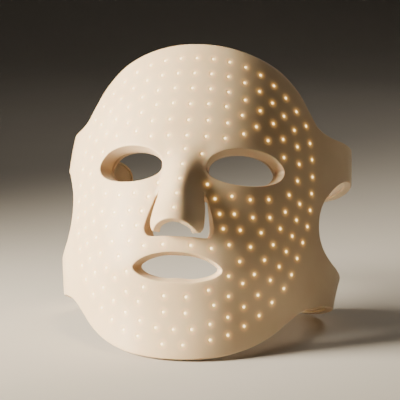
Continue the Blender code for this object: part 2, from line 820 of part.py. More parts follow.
def nose_flap(sites, hinge):
    origin = hinge_point()
    flap = smooth_loop(mirrored(NOSE_FLAP_HALF), 3.4)
    rimmed_shell("nose_flap_cover", (flap, TOTAL_THICK), [], 3.6, 0.0, COVER_THICK,
                 "silicone", hinge, origin=origin, wall=1.0)
    plain_sheet("nose_flap_liner", offset_loop(flap, -1.4), LINER_FRONT, TOTAL_THICK,
                "liner", hinge, spacing=4.0, origin=origin)
    board = resampled(rounded_rectangle(-8.0, 8.0, 79.0, 96.5, 3.0, 3), 3.2)
    squares = [led_square(site) for site in sites]
    loose = [p for p in grid_points([board], 3.4, 1.4)
             if not any(inside(p, q) or loop_distance(p, q) < 1.4 for q in squares)]
    verts, triangles = triangulate([board] + squares, loose)
    pieces = [t for t in triangles if inside(centre(verts, t), board)]
    lit = [t for t in pieces if any(inside(centre(verts, t), q) for q in squares)]
    layered_sheet("nose_board", verts, pieces, BOARD_FRONT, BOARD_BACK, "board", hinge,
                  origin=origin, raised=lit, raise_by=LED_HEIGHT)


def hinge_point():
    base = skin(0.0, HINGE_Z)
    return Vector((0.0, base.y + nose_forward(0.0, HINGE_Z) - HINGE_FORWARD, HINGE_Z))


def ribbon(name, s0, s1, finish, parent):
    """The flat cable from the forehead board through the liner into the pod."""
    low = BOARD_BACK + GAP
    turn = RIBBON_Z
    profile = ((turn - 0.2, low), (turn + 0.2, low), (turn + 0.2, 8.9), (162.3, 8.9),
               (162.3, 8.5), (turn - 0.2, 8.5))
    bm = bmesh.new()
    steps = 3
    rows = []
    for k in range(steps + 1):
        s = s0 + (s1 - s0) * k / steps
        rows.append([bm.verts.new(at_depth(s, z, depth) * MM) for z, depth in profile])
    count = len(profile)
    for a, b in zip(rows, rows[1:]):
        for i in range(count):
            j = (i + 1) % count
            bm.faces.new((a[i], a[j], b[j], b[i]))
    for row, order in ((rows[0], -1), (rows[-1], 1)):
        bm.faces.new([row[k] for k in (0, 1, 2, 5)][::order])
        bm.faces.new([row[k] for k in (2, 3, 4, 5)][::order])
    make_object(name, bm, finish, parent)


def power_pod(root):
    outline = divided(rounded_rectangle(-POD_HALF_S, POD_HALF_S, *POD_Z, POD_CORNER), 9.0)
    hole = ribbon_hole()
    base = POD_FRONT + POD_WALL
    case = rimmed_shell("pod_case", (outline, POD_RIM), [(hole, None, None)], 12.0, POD_FRONT, base,
                        "pod", root, wall=POD_WALL)
    inner = offset_loop(outline, -POD_WALL)
    gasket_front = POD_RIM + GAP
    plate_front = gasket_front + POD_GASKET_THICK + GAP
    plain_sheet("pod_gasket", outline, gasket_front, gasket_front + POD_GASKET_THICK,
                "seal", root, holes=[inner])
    plain_sheet("pod_back_cover", outline, plate_front, plate_front + POD_PLATE_THICK,
                "pod", root, spacing=12.0)
    plain_sheet("battery_cell", divided(rounded_rectangle(-37.0, 4.0, 155.0, 183.0, 2.0), 9.0),
                base + 0.4, 12.0, "foil", root, spacing=14.0)
    plain_sheet("control_board", divided(rounded_rectangle(7.5, 38.0, 155.0, 180.2, 1.0, 1), 10.0),
                9.6, 10.6, "circuit", root)
    plain_sheet("controller_chip", rounded_rectangle(12.0, 19.0, 162.0, 169.0, 0.4, 1), 8.4, 9.3,
                "black_plastic", root)
    plain_sheet("ribbon_connector", rounded_rectangle(23.5, 34.5, 157.6, 162.0, 0.4, 1), 8.0, 9.3,
                "black_plastic", root)
    ribbon("ribbon_cable", 25.0, 33.0, "flex", root)
    for name, z in (("battery_lead_positive", 176.0), ("battery_lead_negative", 173.0)):
        plain_sheet(name, rounded_rectangle(4.3, 10.5, z, z + 1.2, 0.2, 1), 10.9, 11.5,
                    "wire_red" if "positive" in name else "wire_black", root)
    top_features(case, root)


def top_features(case, root):
    """What comes through the pod's top wall: button, charging port and status light."""
    top = POD_Z[1]
    cuts = (
        ("button_cut", POD_BUTTON_S, stadium(BUTTON_SIZE[0] + 0.6, BUTTON_SIZE[1] + 0.6)),
        ("port_cut", POD_PORT_S, stadium(PORT_SIZE[0] + 0.6, PORT_SIZE[1] + 0.6)),
        ("light_cut", POD_LIGHT_S, stadium(2.4, 2.3)),
    )
    for name, s, outline in cuts:
        bm = bmesh.new()
        add_prism(bm, outline, -3.0, 2.0, axis="z")
        cutter = make_object(name, bm, "pod", root, local_matrix(s, top, POD_TOP_DEPTH))
        cutter.hide_render = True
        cutter.display_type = "WIRE"
        cut = case.modifiers.new(name, "BOOLEAN")
        cut.operation = "DIFFERENCE"
        cut.solver = "EXACT"
        cut.object = cutter

    button_place = local_matrix(POD_BUTTON_S, top, POD_TOP_DEPTH)
    bm = bmesh.new()
    stem = stadium(*BUTTON_SIZE)
    flange = stadium(BUTTON_SIZE[0] + 1.6, BUTTON_SIZE[1] + 1.4)
    rings = ((flange, -2.3), (flange, -1.5), (stem, -1.5), (stem, 0.6),
             (stadium(BUTTON_SIZE[0] - 0.6, BUTTON_SIZE[1] - 0.6), 0.9))
    add_rings(bm, rings)
    make_object("power_button", bm, "button", root, button_place)

    bm = bmesh.new()
    add_prism(bm, ((-3.0, -1.7), (3.0, -1.7), (3.0, 1.7), (-3.0, 1.7)), -7.4, -3.4, axis="z")
    make_object("tact_switch", bm, "black_plastic", root, button_place)

    port_place = local_matrix(POD_PORT_S, top, POD_TOP_DEPTH)
    bm = bmesh.new()
    add_tube(bm, stadium(*PORT_SIZE), stadium(PORT_SIZE[0] - 0.8, PORT_SIZE[1] - 0.8),
             -7.3, -0.1, floor=-6.5)
    make_object("charging_port_shell", bm, "steel", root, port_place)
    bm = bmesh.new()
    add_prism(bm, ((-3.3, -0.35), (3.3, -0.35), (3.3, 0.35), (-3.3, 0.35)), -6.2, -1.0, axis="z")
    make_object("charging_port_tongue", bm, "black_plastic", root, port_place)
    bm = bmesh.new()
    add_tube(bm, stadium(BEZEL_SIZE[0], BEZEL_SIZE[1]), stadium(PORT_SIZE[0] + 0.6, PORT_SIZE[1] + 0.6),
             0.35, 1.35)
    make_object("charging_port_bezel", bm, "button", root, port_place)

    bm = bmesh.new()
    add_rings(bm, ((stadium(1.7, 1.6), -7.2), (stadium(1.7, 1.6), 0.3)))
    make_object("status_light_pipe", bm, "light_pipe", root,
                local_matrix(POD_LIGHT_S, top, POD_TOP_DEPTH))


def add_rings(bm, rings):
    """A closed body lofted through matching flat outlines at rising levels."""
    levels = [[bm.verts.new(Vector((a, b, level)) * MM) for a, b in loop] for loop, level in rings]
    for lower, upper in zip(levels, levels[1:]):
        for i in range(len(lower)):
            j = (i + 1) % len(lower)
            bm.faces.new((lower[i], lower[j], upper[j], upper[i]))
    bm.faces.new(levels[0][::-1])
    bm.faces.new(levels[-1])


def ribbon_hole():
    return rounded_rectangle(24.0, 34.0, RIBBON_Z - 1.2, RIBBON_Z + 1.2, 0.8, 1)


def main():
    clear_scene()
    stand = make_empty("stand", location=(0.0, STAND_SHIFT_Y * MM, STAND_SHIFT_Z * MM),
                       rotation=(-math.radians(LEAN_DEG), 0.0, 0.0))
    hinge = make_empty("nose_hinge", stand, hinge_point() * MM)
    loops = outline_loops(LOOP_SPACING)
    sites = led_sites()
    silicone_cover(loops, "silicone", stand)
    silicone_liner(loops, ribbon_hole(), "liner", stand)
    light_boards(loops, sites, "board", stand)
    for side, name in ((1, "left"), (-1, "right")):
        jumper("forehead_jumper_" + name, side * 78.0, FOREHEAD_SPLIT_Z, "flex", stand)
        jumper("chin_jumper_" + name, side * 68.0, CHIN_SPLIT_Z, "flex", stand)
        eye_gasket("eye_gasket_" + name, loops["eye_" + name], "seal", stand)
    nose_flap([(0.0, z) for z in FLAP_LED_Z], hinge)
    power_pod(stand)


main()
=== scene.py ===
"""Looks of the LED face mask: fine silicone skin, liner, seals, lights and pod finishes.

The CAD frame gives the places. The skin is the CAD's own formula again, in face
coordinates (s round the face, z up it, depth inward, all in millimetres), on a finer
mesh with rounded edges and a small dimple at every light.
"""

import math

import bmesh
import bpy
import numpy as np
from mathutils import Matrix, Vector
from mathutils.geometry import delaunay_2d_cdt


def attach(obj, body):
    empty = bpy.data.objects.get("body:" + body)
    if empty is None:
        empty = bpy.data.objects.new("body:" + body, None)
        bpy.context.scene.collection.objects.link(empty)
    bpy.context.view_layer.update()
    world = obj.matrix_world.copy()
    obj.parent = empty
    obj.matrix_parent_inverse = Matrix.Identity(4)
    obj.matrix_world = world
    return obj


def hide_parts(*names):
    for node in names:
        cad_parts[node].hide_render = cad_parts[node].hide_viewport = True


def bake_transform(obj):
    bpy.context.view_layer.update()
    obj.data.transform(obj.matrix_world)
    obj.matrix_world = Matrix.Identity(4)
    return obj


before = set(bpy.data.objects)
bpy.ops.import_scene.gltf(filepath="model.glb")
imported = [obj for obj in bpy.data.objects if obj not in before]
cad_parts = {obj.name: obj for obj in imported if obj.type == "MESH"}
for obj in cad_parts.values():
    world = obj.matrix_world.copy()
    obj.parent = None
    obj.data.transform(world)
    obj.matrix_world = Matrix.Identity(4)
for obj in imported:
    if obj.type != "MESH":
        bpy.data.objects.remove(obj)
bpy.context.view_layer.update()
MM = 0.001

# ---- The face, as in the CAD -----------------------------------------------------------
LEAN_DEG = 28.35
STAND_SHIFT = (0.0, -94.75, 5.87)
PLAN_ARCS = ((84.0, 41.0), (135.0, 70.5), (42.0, 172.0))
STATIONS = np.array((
    (0.0, 9.5, 0.800),
    (30.0, 4.9, 0.872),
    (57.0, -4.7, 0.912),
    (90.0, -6.6, 0.962),
    (125.0, -5.3, 0.972),
    (160.0, -2.0, 0.956),
    (190.0, 5.1, 0.897),
    (210.0, 11.6, 0.801),
))
NOSE_STATIONS = np.array((
    (72.0, 21.0, 16.3, 0.50),
    (75.5, 20.3, 18.0, 0.52),
    (80.0, 19.4, 18.3, 0.55),
    (88.0, 16.6, 17.7, 0.85),
    (98.0, 12.0, 16.0, 1.45),
    (108.0, 7.6, 15.2, 2.00),
    (118.0, 3.8, 15.0, 2.00),
    (128.0, 1.2, 15.5, 2.00),
    (140.0, 0.0, 16.0, 2.00),
))
NOSE_LOW_Z = 71.7
OUTLINE_HALF = (
    (0.0, 200.0), (30.0, 197.6), (58.0, 189.8), (75.0, 178.8), (86.0, 166.5),
    (94.5, 158.3), (108.0, 156.0), (126.0, 157.6), (150.0, 158.4), (176.0, 157.4),
    (195.0, 153.6), (202.0, 143.5), (196.0, 133.4), (178.0, 132.6), (155.0, 134.4),
    (134.0, 133.2), (121.0, 127.8), (110.5, 119.0), (103.5, 110.0), (101.0, 100.5),
    (102.5, 91.0), (108.0, 83.5), (118.0, 77.8), (135.0, 73.6), (155.0, 72.2),
    (180.0, 71.6), (195.0, 68.8), (201.0, 62.3), (195.0, 55.6), (178.0, 53.0),
    (155.0, 51.8), (132.0, 49.4), (113.0, 45.4), (99.0, 40.3), (87.0, 32.0),
    (74.0, 21.5), (58.0, 12.2), (38.0, 4.8), (18.0, 1.2), (0.0, 0.3),
)
EYE = (
    (14.2, 115.4), (16.4, 121.8), (24.0, 127.0), (36.0, 129.9), (48.0, 130.2),
    (59.0, 127.8), (65.8, 121.6), (63.0, 114.8), (54.0, 109.9), (42.5, 107.2),
    (30.5, 106.7), (21.0, 108.5), (15.6, 111.6),
)
MOUTH_HALF = ((0.0, 61.8), (10.0, 61.3), (19.6, 59.4), (26.8, 56.6), (30.5, 53.0),
              (26.2, 49.1), (18.6, 46.4), (10.0, 44.9), (0.0, 44.7))
# The slot round the nose flap, from its tip at the seam to the midline below.
SLOT_TIP = (14.5, 98.9)
CHEEK_SIDE_HALF = (SLOT_TIP, (16.3, 95.6), (17.8, 91.4), (20.1, 85.4), (22.1, 79.4),
                   (22.5, 75.4), (20.6, 72.2), (17.6, 71.4), (9.0, 71.5), (0.0, 71.5))
FLAP_SIDE_HALF = (SLOT_TIP, (15.1, 95.6), (16.2, 91.0), (17.2, 85.0), (17.7, 79.5), (17.6, 76.4),
                  (16.9, 74.2), (15.7, 72.3), (14.5, 71.95), (12.5, 73.2), (9.5, 74.8),
                  (6.0, 75.95), (0.0, 76.6))

TOTAL_THICK = 4.85
COVER_THICK = 1.3
WALL = 1.3
FLAP_WALL = 1.0
GAP = 0.3
LINER_FRONT = 3.65
LED_TOP = 1.65
LED_SIZE = 2.0
LED_DEPTH_TOLERANCE = 0.4
EYE_CENTRE = (40.0, 117.5)
MOUTH_CENTRE = (0.0, 53.0)
EYE_RIM_DEPTH = 8.0
EYE_RIM_SLANT = 1.8
MOUTH_RIM_DEPTH = 9.0
MOUTH_RIM_SLANT = 1.2
NOSE_RIM_EXTRA = 3.2
NOSE_RIM_SLANT = 2.4
NOSE_RIM_FADE_S = (15.5, 19.0)
NOSE_RIM_FADE_Z = (77.0, 97.0)
GASKET_THICK = 2.4
GASKET_GAP = 0.5
GASKET_INNER = 1.1
GASKET_OUTER = 3.0

# ---- Fineness of the skin --------------------------------------------------------------
SKIN_GRID = 3.0
HIDDEN_GRID = 6.0
NOSE_GRID = 1.5
NOSE_PATCH_S = 24.0
NOSE_PATCH_Z = (70.0, 134.0)
NOSE_PATCH_OVERLAP = 1.0
LOOP_STEP = 1.3
SPLINE_STEPS = 14
SEAM_POINTS = 26
SEAM_FADE = 4.0
SEAM_BAND = 2.5
EDGE_ROUND = 0.7
RIM_END_ROUND = 0.4
RIM_BACK_ROUND = 0.15
LINER_ROUND = 0.35

# ---- Lights: rings of points round each, as (radius, count), and the lens profile -------
LED_RINGS = ((1.02, 8), (1.42, 12), (2.3, 12), (3.8, 12))
RING_TO_GRID = 1.0
RING_TO_EDGE = 0.9
DIMPLE_DEPTH = 0.20
LENS_RADIUS = 0.95
LENS_SIDES = 12
LENS_PROFILE = ((LENS_RADIUS, 0.55), (LENS_RADIUS, 0.16), (0.85, 0.05), (0.56, -0.03), (0.26, -0.07))
LENS_CROWN = -0.08
GLOW_WIDTH = 1.35

LIGHT_BOARDS = ("forehead_board", "left_cheek_board", "right_cheek_board", "chin_board", "nose_board")

# ---- Camera: a long lens, a little to one side of the face and a little above it --------
CAMERA_TARGET = (3.7, -11.2, 82.3)
CAMERA_AZIMUTH = 10.2
CAMERA_ELEVATION = 11.9
CAMERA_DISTANCE = 1000.0
CAMERA_LENS = 144.0

stand = Matrix.Translation(Vector(STAND_SHIFT) * MM) @ Matrix.Rotation(-math.radians(LEAN_DEG), 4, "X")


# ========================================================================================
# The skin formula, on arrays
# ========================================================================================
def station_value(stations, column, z):
    """Smooth (Hermite) interpolation of one column of a station table."""
    heights = stations[:, 0]
    values = stations[:, column]
    last = len(heights) - 1
    z = np.clip(z, heights[0], heights[-1])
    i = np.clip(np.searchsorted(heights, z, side="left") - 1, 0, last - 1)
    low = np.maximum(np.arange(last + 1) - 1, 0)
    high = np.minimum(np.arange(last + 1) + 1, last)
    slope = (values[high] - values[low]) / (heights[high] - heights[low])
    step = heights[i + 1] - heights[i]
    t = (z - heights[i]) / step
    return (
        (2 * t**3 - 3 * t**2 + 1) * values[i]
        + (t**3 - 2 * t**2 + t) * step * slope[i]
        + (3 * t**2 - 2 * t**3) * values[i + 1]
        + (t**3 - t**2) * step * slope[i + 1]
    )


def plan_point(s):
    """The point at a distance s along the plan curve: arcs, then a straight line."""
    left = np.abs(s)
    heading = np.zeros_like(left)
    x = np.zeros_like(left)
    y = np.zeros_like(left)
    for radius, end_deg in PLAN_ARCS:
        turn = np.minimum(left / radius, math.radians(end_deg) - heading)
        x += radius * (np.sin(heading + turn) - np.sin(heading))
        y += radius * (np.cos(heading) - np.cos(heading + turn))
        heading = heading + turn
        left = left - turn * radius
    x += left * np.cos(heading)
    y += left * np.sin(heading)
    return np.copysign(x, s), y


def nose_forward(s, z):
    """How far the nose stands forward of the plain face."""
    u = np.abs(s) / station_value(NOSE_STATIONS, 2, z)
    rise = np.clip(1 - u * u, 0.0, 1.0)
    height = station_value(NOSE_STATIONS, 1, z) * rise ** station_value(NOSE_STATIONS, 3, z)
    on_nose = (z > NOSE_LOW_Z) & (z < NOSE_STATIONS[-1, 0]) & (u < 1.0)
    return np.where(on_nose, height, 0.0)


def skin(s, z):
    """Points of the outer skin in the mask's own frame: x sideways, y backward, z up."""
    x, y = plan_point(s)
    width = station_value(STATIONS, 2, z)
    setback = station_value(STATIONS, 1, z)
    return np.stack((width * x, setback + width * y - nose_forward(s, z), z), axis=-1)


def unit(v):
    return v / np.linalg.norm(v, axis=-1, keepdims=True)


def skin_axes(s, z):
    """Unit vectors along s, up the face and inward, for arrays of points."""
    step = 0.05
    along = unit(skin(s + step, z) - skin(s - step, z))
    up = unit(skin(s, z + step) - skin(s, z - step))
    inward = unit(np.cross(up, along))
    return along, unit(np.cross(along, inward)), inward


def at_depth(points, depth):
    """Mask-frame positions (mm) of (s, z) points at a depth, one or one for each."""
    points = np.asarray(points, float)
    s = points[:, 0]
    z = points[:, 1]
    inward = skin_axes(s, z)[2]
    return skin(s, z) + np.asarray(depth, float).reshape(-1, 1) * inward


def to_world(positions):
    """Mask-frame millimetres to world metres, with the mask standing and leaning back."""
    m = np.array(stand)
    return positions * MM @ m[:3, :3].T + m[:3, 3]


def face_coordinates(targets, depth):
    """The (s, z) of mask-frame positions taken to lie at a depth, and how far each is from it."""
    guess = targets[:, [0, 2]].copy()
    for _ in range(40):
        along, up, inward = skin_axes(guess[:, 0], guess[:, 1])
        miss = targets - at_depth(guess, depth)
        guess += 0.8 * np.stack((np.sum(miss * along, axis=1), np.sum(miss * up, axis=1)), axis=1)
    return guess, np.abs(np.sum(miss * inward, axis=1))


# ========================================================================================
# Loops and triangles in face coordinates
# ========================================================================================
def mirrored(half):
    """A closed outline from its half at +s, which starts and ends on the midline."""
    return list(half) + [(-s, z) for s, z in reversed(half[1:-1])]


def catmull_rom(points):
    """A smooth closed curve through the points, SPLINE_STEPS for each."""
    points = np.array(points)
    fine = []
    for t in np.arange(SPLINE_STEPS) / SPLINE_STEPS:
        a, b, c, d = (np.roll(points, k, axis=0) for k in (1, 0, -1, -2))
        fine.append(0.5 * (2 * b + (c - a) * t + (2 * a - 5 * b + 4 * c - d) * t**2
                           + (3 * b - a - 3 * c + d) * t**3))
    return np.stack(fine, axis=1).reshape(-1, 2)


def resampled(points, spacing):
    """A closed loop's points again, evenly spaced."""
    points = np.asarray(points)
    closed = np.vstack((points, points[:1]))
    walked = np.concatenate(([0.0], np.cumsum(np.linalg.norm(np.diff(closed, axis=0), axis=1))))
    count = max(12, round(walked[-1] / spacing))
    targets = walked[-1] * np.arange(count) / count
    return np.stack([np.interp(targets, walked, closed[:, k]) for k in (0, 1)], axis=1)


def smooth_loop(points, spacing):
    return resampled(catmull_rom(points), spacing)


def smooth_arc(half, spacing):
    """A smooth open curve from the first point of a half, at +s, to that point's mirror image."""
    points = [np.array(p) for p in list(half) + [(-s, z) for s, z in reversed(half[:-1])]]
    points = [2 * points[0] - points[1]] + points + [2 * points[-1] - points[-2]]
    fine = catmull_rom(points)[SPLINE_STEPS:1 - 2 * SPLINE_STEPS]
    walked = np.concatenate(([0.0], np.cumsum(np.linalg.norm(np.diff(fine, axis=0), axis=1))))
    targets = np.linspace(0.0, walked[-1], round(walked[-1] / spacing) + 1)
    arc = np.stack([np.interp(targets, walked, fine[:, k]) for k in (0, 1)], axis=1)
    arc[0] = half[0]
    arc[-1] = (-half[0][0], half[0][1])
    return arc


def loop_normals(loop):
    """Unit vectors out of a closed loop, one at each point."""
    tangent = unit(np.roll(loop, -1, axis=0) - np.roll(loop, 1, axis=0))
    nxt = np.roll(loop, -1, axis=0)
    area = 0.5 * np.sum(loop[:, 0] * nxt[:, 1] - nxt[:, 0] * loop[:, 1])
    return math.copysign(1.0, area) * np.stack((tangent[:, 1], -tangent[:, 0]), axis=1)


def inside(points, loop):
    """For each point, whether it is inside the closed loop."""
    x, y = points[:, 0][:, None], points[:, 1][:, None]
    x0, y0 = loop[:, 0], loop[:, 1]
    x1, y1 = np.roll(x0, -1), np.roll(y0, -1)
    rise = np.where(y1 == y0, 1e-12, y1 - y0)
    crosses = ((y0 > y) != (y1 > y)) & (x < x0 + (y - y0) * (x1 - x0) / rise)
    return crosses.sum(axis=1) % 2 == 1


def nearest_distance(points, others):
    """Distance from each point to the nearest of others."""
    result = np.full(len(points), 1e9)
    for start in range(0, len(points), 2000):
        block = points[start:start + 2000]
        gaps = np.linalg.norm(block[:, None, :] - others[None, :, :], axis=2)
        result[start:start + 2000] = gaps.min(axis=1)
    return result


def grid(half_width, low, high, spacing):
    """A staggered grid of points from low to high, to both sides of s = 0."""
    row_step = 0.866 * spacing
    rows = int((high - low) / row_step) + 1
    reach = int(half_width / spacing) + 1
    points = [((column + 0.5 * (row % 2)) * spacing, low + row * row_step)
              for row in range(rows) for column in range(-reach - 1, reach + 1)]
    return np.array(points)


def clear_of(points, border, holes):
    """The points that lie inside the border and outside every hole."""
    keep = inside(points, border)
    for hole in holes:
        keep &= ~inside(points, hole)
    return points[keep]


def fill(border, holes, loose):
    """Triangles between a border and its holes, through the loose points."""
    verts = []
    edges = []
    for loop in [border] + holes:
        first = len(verts)
        count = len(loop)
        verts += [tuple(p) for p in loop]
        edges += [(first + i, first + (i + 1) % count) for i in range(count)]
    verts += [tuple(p) for p in loose]
    result = delaunay_2d_cdt([Vector(v) for v in verts], edges, [], 0, 1e-6)
    points = np.array([verts[source[0]] if source else tuple(v)
                       for v, source in zip(result[0], result[3])])
    triangles = np.array([tuple(f) for f in result[2]])
    middle = points[triangles].mean(axis=1)
    keep = inside(middle, border)
    for hole in holes:
        keep &= ~inside(middle, hole)
    return points, triangles[keep]


def skin_loose_points(border, holes, spacing, leds=()):
    """Loose points for a skin: a grid, finer on the nose, and rings round each light."""
    half_width, high = border.max(axis=0)
    coarse = grid(half_width, border[:, 1].min(), high, spacing)
    low_z, high_z = NOSE_PATCH_Z
    on_nose = ((np.abs(coarse[:, 0]) < NOSE_PATCH_S) & (coarse[:, 1] > low_z)
               & (coarse[:, 1] < high_z))
    fine = grid(NOSE_PATCH_S, low_z, high_z + NOSE_PATCH_OVERLAP, NOSE_GRID)
    points = np.vstack((coarse[~on_nose], fine[np.abs(fine[:, 0]) < NOSE_PATCH_S]))
    points = clear_of(points, border, holes)
    edge = np.vstack([border] + holes)
    points = points[nearest_distance(points, edge) > LOOP_STEP * 0.8]
    if not len(leds):
        return points
    points = points[nearest_distance(points, leds) > LED_RINGS[-1][0] + RING_TO_GRID]
    width = station_value(STATIONS, 2, leds[:, 1])
    rings = []
    for radius, count in LED_RINGS:
        for k in range(count):
            angle = 2 * math.pi * (k + 0.5) / count
            rings.append(leds + np.stack((radius * math.cos(angle) / width,
                                          np.full(len(leds), radius * math.sin(angle))), axis=1))
    rings = clear_of(np.vstack(rings), border, holes)
    rings = rings[nearest_distance(rings, edge) > RING_TO_EDGE]
    return np.vstack((points, rings))


# ========================================================================================
# Meshes
# ========================================================================================
class Shell:
    """A closed mesh collected from caps and edge strips that share their vertices."""

    def __init__(self):
        self.positions = []
        self.found = {}
        self.faces = []

    def indices(self, positions):
        """Vertex numbers of the positions, the same number for the same place."""
        result = []
        for p in positions:
            key = (round(p[0], 4), round(p[1], 4), round(p[2], 4))
            if key not in self.found:
                self.found[key] = len(self.positions)
                self.positions.append(p)
            result.append(self.found[key])
        return result

    def add(self, positions, faces):
        """Faces given by their corners in the list of positions, without repeated corners."""
        numbers = self.indices(positions)
        for face in faces:
            corners = [numbers[i] for i in face]
            corners = [c for k, c in enumerate(corners) if c != corners[k - 1]]
            if len(corners) > 2:
                self.faces.append(corners)

    def strip(self, rings):
        """Quads between closed rings of equal length."""
        count = len(rings[0])
        for a, b in zip(rings, rings[1:]):
            faces = [(i, (i + 1) % count, count + (i + 1) % count, count + i) for i in range(count)]
            self.add(np.vstack((a, b)), faces)

    def finish(self, name, material):
        """The smooth-shaded object, in world metres."""
        mesh = bpy.data.meshes.new(name)
        mesh.from_pydata([tuple(p) for p in to_world(np.array(self.positions))], [], self.faces)
        mesh.materials.append(material)
        obj = bpy.data.objects.new(name, mesh)
        bpy.context.scene.collection.objects.link(obj)
        make_outward(obj)
        mesh.shade_smooth()
        return obj


def make_outward(obj):
    """Faces turned to face out of the closed body."""
    bm = bmesh.new()
    bm.from_mesh(obj.data)
    bmesh.ops.recalc_face_normals(bm, faces=bm.faces)
    if bm.calc_volume(signed=True) < 0:
        bmesh.ops.reverse_faces(bm, faces=bm.faces)
    bm.to_mesh(obj.data)
    bm.free()


def led_sites():
    """LED places read off the CAD: each light's top is a small square on its board."""
    to_mask = np.array(stand.inverted())
    sites = {}
    for node in LIGHT_BOARDS:
        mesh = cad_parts[node].data
        mesh.calc_loop_triangles()
        verts = np.empty(len(mesh.vertices) * 3)
        mesh.vertices.foreach_get("co", verts)
        verts = (verts.reshape(-1, 3) @ to_mask[:3, :3].T + to_mask[:3, 3]) / MM
        triangles = np.array([t.vertices for t in mesh.loop_triangles])
        corners = verts[triangles]
        sides = np.linalg.norm(corners - np.roll(corners, 1, axis=1), axis=2)
        longest = sides.argmax(axis=1)
        rows = np.arange(len(triangles))
        middle = (corners[rows, longest] + corners[rows, longest - 1]) / 2
        # Half of a square has sides of 1, 1 and 1.41 times its size, and its long side's
        # middle is the square's centre.
        likely = ((sides.min(axis=1) > 0.6 * LED_SIZE) & (sides.max(axis=1) < 1.8 * LED_SIZE)
                  & (sides.sum(axis=1) < 4.3 * LED_SIZE))
        places, off = face_coordinates(middle[likely], LED_TOP)
        found = []
        for place in places[off < LED_DEPTH_TOLERANCE]:
            if all(math.dist(place, other) > 1.5 * LED_SIZE for other in found):
                found.append(tuple(place))
        sites[node] = np.array(found)
    return sites


# ========================================================================================
# Silicone: cover, nose flap and liners
# ========================================================================================
def make_edge(loop, depth, hole=True, slant=None, extra=None, soft=None):
    """One edge of a skin: its loop, the way out of the material, and its rim's shape."""
    count = len(loop)
    return {
        "loop": loop,
        "outward": loop_normals(loop) * (-1 if hole else 1),
        "depth": depth,
        "slant": np.zeros_like(loop) if slant is None else slant,
        "extra": np.zeros(count) if extra is None else extra,
        "soft": np.ones(count) if soft is None else soft,
    }


def rim_rings(edge, wall, inner_depth):
    """Rings round the edge's soft corner, down the rim, round its end and back up inside.

    The edge's slant is taken up gradually down the rim: each ring gets a share of it.
    """
    round_off = EDGE_ROUND * edge["soft"]
    end = edge["depth"] + edge["extra"]
    rings = []

    def ring(offset, level, slant_share):
        points = (edge["loop"] + edge["outward"] * np.reshape(offset, (-1, 1))
                  + edge["slant"] * slant_share)
        rings.append(at_depth(points, np.broadcast_to(level, len(points))))

    for angle in np.linspace(0.0, math.pi / 2, 5):
        ring(-round_off * (1 - math.sin(angle)), round_off * (1 - math.cos(angle)), 0.0)
    for share in (0.3, 0.65):
        ring(0.0, round_off + share * (end - RIM_END_ROUND - round_off), share)
    ring(0.0, end - RIM_END_ROUND, 0.92)
    ring(-0.3 * RIM_END_ROUND, end - 0.3 * RIM_END_ROUND, 0.98)
    ring(-RIM_END_ROUND, end, 1.0)
    ring(RIM_BACK_ROUND - wall, end, 1.0)
    ring(-wall, end - RIM_BACK_ROUND, 1.0)
    ring(-wall, inner_depth, 0.0)
    return rings


def dimple_depths(points, leds):
    """Depth of the outer surface: zero, but a little in at each light."""
    gap = nearest_distance(points, leds)
    return np.interp(gap, (LED_RINGS[0][0] * 1.06, LED_RINGS[1][0] * 0.98), (DIMPLE_DEPTH, 0.0))


def build_shell(name, edges, leds, spacing, wall, material):
    """A skin with rims turned inward at every edge: outer and inner face, and the rims."""
    shell = Shell()
    for edge in edges:
        shell.strip(rim_rings(edge, wall, COVER_THICK))
    outer = [e["loop"] - e["outward"] * EDGE_ROUND * e["soft"][:, None] for e in edges]
    inner = [e["loop"] - e["outward"] * wall for e in edges]
    points, triangles = fill(outer[0], outer[1:], skin_loose_points(outer[0], outer[1:], spacing, leds))
    shell.add(at_depth(points, dimple_depths(points, leds)), triangles)
    points, triangles = fill(inner[0], inner[1:], skin_loose_points(inner[0], inner[1:], HIDDEN_GRID))
    shell.add(at_depth(points, COVER_THICK), triangles)
    obj = shell.finish(name, material)
    seam_normals(shell, obj)
    return obj


def build_liner(name, edges, leds, spacing, material):
    """The inner skin: a sheet just inside the rims, with a softened back edge."""
    shell = Shell()
    ring_shapes = ((0.0, LINER_FRONT), (0.0, TOTAL_THICK - LINER_ROUND), (0.1, TOTAL_THICK - 0.1),
                   (LINER_ROUND, TOTAL_THICK))
    front = [edge["loop"] - edge["outward"] * (WALL + GAP) for edge in edges]
    back = [loop - edge["outward"] * LINER_ROUND for loop, edge in zip(front, edges)]
    for loop, edge in zip(front, edges):
        shell.strip([at_depth(loop - edge["outward"] * offset, depth) for offset, depth in ring_shapes])
    points, triangles = fill(front[0], front[1:], skin_loose_points(front[0], front[1:], HIDDEN_GRID))
    shell.add(at_depth(points, LINER_FRONT), triangles)
    points, triangles = fill(back[0], back[1:], skin_loose_points(back[0], back[1:], spacing, leds))
    shell.add(at_depth(points, TOTAL_THICK), triangles)
    return shell.finish(name, material)


def seam_normals(shell, obj):
    """Near the seam of cover and flap both take the formula's normals, so it doesn't show."""
    positions = np.array(shell.positions)
    near = np.flatnonzero((np.abs(positions[:, 2] - SLOT_TIP[1]) < SEAM_BAND)
                          & (np.abs(positions[:, 0]) < SLOT_TIP[0] - 1.0))
    if not len(near):
        return
    places, off = face_coordinates(positions[near], 0.0)
    inward = skin_axes(places[:, 0], places[:, 1])[2]
    normals = np.zeros((len(positions), 3))
    skin_only = off < 0.02
    normals[near[skin_only]] = -(inward[skin_only] @ np.array(stand)[:3, :3].T)
    obj.data.normals_split_custom_set_from_vertices([tuple(n) for n in normals])


